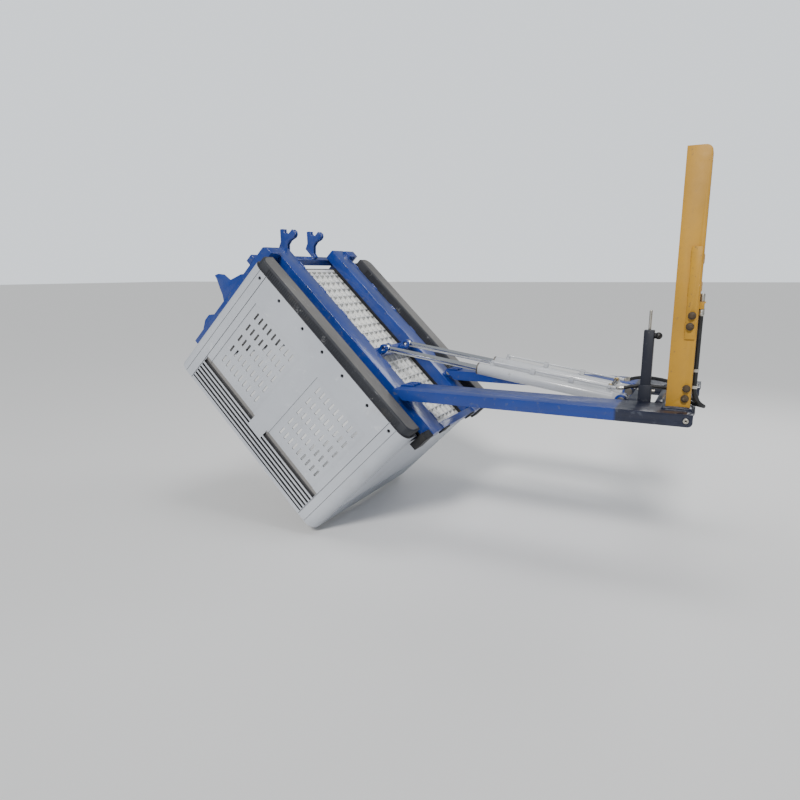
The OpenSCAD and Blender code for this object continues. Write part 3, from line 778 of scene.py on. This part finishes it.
def frame_welds():
    seams = []
    top = 0.0255
    for side in (-1, 1):
        y0, y1 = side * 0.288, side * 0.382
        seams += [((-0.117, y0, top), (-0.008, y0, top)), ((-0.117, y1, top), (-0.008, y1, top)),
                  ((-0.117, y0, top), (-0.117, y1, top))]
        for y in (0.300, 0.370):
            seams.append(((-0.105, side * y, 0.0355), (-0.027 - 0.010 * side, side * y, 0.0355)))
        seams.append(((-0.105, side * 0.300, 0.0355), (-0.105, side * 0.370, 0.0355)))
        for x in (-0.265, -0.205):
            seams.append(((x, side * ARM_IN, -0.022), (x, side * ARM_IN, 0.020)))
        seams.append(((-0.264, side * ARM_IN, 0.0215), (-0.206, side * ARM_IN, 0.0215)))
        for y in (CYL_Y - 0.034, CYL_Y + 0.034):
            seams.append(((-0.2655, side * y, -0.020), (-0.2655, side * y, 0.019)))
        ring = [(-0.1387 + 0.0205 * math.cos(a), side * (ARM_IN - 0.001), 0.010 + 0.0205 * math.sin(a))
                for a in (-0.5, 0.0, 0.5, 1.0, 1.5, 2.1, 2.6, 3.14, 3.6)]
        seams += list(zip(ring, ring[1:]))
    seams.append(((-0.222, -ARM_IN, -0.020), (-0.222, -ARM_IN, 0.022)))
    seams.append(((-0.174, -ARM_IN, -0.020), (-0.174, -ARM_IN, 0.022)))
    welds("frame_welds", seams, still, ARM_BLUE_PAINTED_SHADOW, "frame", 0.003)
    cross = []
    for side in (-1, 1):
        for z in (0.560, 0.610, 0.900, 0.950):
            cross.append(((-0.091, side * 0.2995, z), (-0.041, side * 0.2995, z)))
        for x in (-0.065 - 0.007 * side, -0.029 - 0.007 * side):
            cross += [((x, side * 0.3705, z), (x, side * 0.3705, z + 0.05)) for z in (0.330, 0.470, 0.600)]
    welds("guard_welds", cross, still, YELLOW, "frame", 0.0032)


cradle_welds()
frame_welds()


# ---------------------------------------------------------------- hoses
# Each route's points in metres, from the coupler or fitting it leaves to the one it ends in
FEED = [(-8, -345, 425), (-8, -345, 360), (-8, -345, 280), (-8, -345, 200), (-8, -345, 130), (-8, -345, 104),
        (-3, -344, 80), (12, -340, 56), (27, -329, 42), (28, -308, 38), (14, -284, 36), (-8, -260, 37),
        (-30, -232, 39), (-46, -202, 43), (-58, -168, 49), (-69, -134, 55), (-84, -108, 61), (-115, -94, 65),
        (-165, -88, 68), (-215, -94, 69), (-258, -109, 66), (-290, -125, 60), (-320, -133, 57)]
RETURN = [(-8, -325, 425), (-8, -325, 360), (-8, -325, 280), (-8, -325, 200), (-8, -325, 130), (-8, -325, 104),
          (-4, -323, 86), (2, -316, 70), (5, -300, 58), (0, -280, 54), (-12, -258, 55), (-31, -232, 58),
          (-46, -202, 62), (-57, -168, 68), (-67, -132, 74), (-80, -94, 80), (-102, -50, 84), (-137, 0, 85),
          (-180, 46, 84), (-225, 82, 81), (-262, 107, 74), (-292, 124, 64), (-320, 133, 57)]
LINK = [(-353, -115, 60), (-355, -98, 60), (-358, -70, 56), (-360, -35, 50), (-360, 0, 47),
        (-360, 35, 50), (-358, 70, 56), (-355, 98, 60), (-353, 115, 60)]


def smooth_route(points, per_span=8):
    p = [Vector(q) * MM for q in points]
    out = []
    for k in range(len(p) - 1):
        a, b, c, d = p[max(k - 1, 0)], p[k], p[k + 1], p[min(k + 2, len(p) - 1)]
        for i in range(per_span):
            f = i / per_span
            out.append(0.5 * (2 * b + (c - a) * f + (2 * a - 5 * b + 4 * c - d) * f * f
                              + (3 * b - a - 3 * c + d) * f ** 3))
    return out + [p[-1]]


def hose(name, node, points, diameter, fittings):
    route = smooth_route(points)
    curve = bpy.data.curves.new(name, "CURVE")
    curve.dimensions = "3D"
    curve.bevel_depth, curve.bevel_resolution, curve.use_fill_caps = diameter / 2, 6, True
    line = curve.splines.new("POLY")
    line.points.add(len(route) - 1)
    for p, q in zip(line.points, route):
        p.co = (*q, 1.0)
    curve.materials.append(HOSE)
    obj = bpy.data.objects.new(name, curve)
    scene.collection.objects.link(obj)
    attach(obj, "frame")
    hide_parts(node)
    r = diameter / 2
    bm = bmesh.new()
    for end, inner in ((route[0], route[4]), (route[-1], route[-5])):
        lathe(bm, end, inner - end, [(-0.0035, r * 0.7), (0.001, r * 1.25), (0.004, r * 1.32), (0.007, r * 1.18),
                                     (0.010, r * 1.32), (0.014, r * 1.18), (0.017, r * 1.32), (0.026, r * 1.28),
                                     (0.028, r * 1.05)], 24)
    ends = add_piece(name + "_ferrules", bm, fittings, "frame", 40.0)


hose("feed_hose", "hose_feed", FEED, 0.016, ZINC)
hose("return_hose", "hose_return", RETURN, 0.016, ZINC)
hose("link_hose", "hose_link", LINK, 0.013, BRASS)


# ---------------------------------------------------------------- light and floor
FLOOR_HALF = 90.0


def area(name, at, target, size, power, colour=(1, 1, 1)):
    data = bpy.data.lights.new(name, "AREA")
    data.shape, data.size, data.energy, data.color = "SQUARE", size, power, colour
    obj = bpy.data.objects.new(name, data)
    obj.location = at
    obj.rotation_euler = (Vector(target) - Vector(at)).to_track_quat("-Z", "Y").to_euler()
    scene.collection.objects.link(obj)


def studio():
    world = bpy.data.worlds.new("studio")
    scene.world = world
    world.use_nodes = True
    tree = world.node_tree
    sky = tree.nodes["Background"]
    sky.inputs[0].default_value = (0.90, 0.95, 1.0, 1.0)
    seen = tree.nodes.new("ShaderNodeLightPath").outputs["Is Camera Ray"]
    tree.links.new(spread(tree, seen, 0.38, 1.25), sky.inputs[1])
    middle = (-1.1, 0, 0.2)
    data = bpy.data.lights.new("key", "SUN")
    data.energy, data.angle, data.color = 2.5, math.radians(12), (1.0, 0.985, 0.96)
    key = bpy.data.objects.new("key", data)
    key.rotation_euler = Vector((-0.10, 0.80, -0.62)).to_track_quat("-Z", "Y").to_euler()
    scene.collection.objects.link(key)
    area("top", (-0.9, -0.5, 4.4), middle, 1.8, 60, (1.0, 1.0, 1.0))
    area("rim", (0.8, 3.4, 2.6), middle, 2.0, 60)
    low = cad_box[0].z - 0.03
    mesh = bpy.data.meshes.new("floor")
    corners = [(x * FLOOR_HALF, y * FLOOR_HALF, low) for x, y in ((-1, -1), (1, -1), (1, 1), (-1, 1))]
    mesh.from_pydata(corners, [], [(0, 1, 2, 3)])
    floor = bpy.data.objects.new("floor", mesh)
    mat, tree, shader, where = node_tree("floor_paint")
    shader.inputs["Base Color"].default_value = (0.86, 0.86, 0.86, 1)
    tree.links.new(spread(tree, noise(tree, where, 3.0, 4), 0.7, 0.85), shader.inputs["Roughness"])
    mesh.materials.append(mat)
    scene.collection.objects.link(floor)


studio()
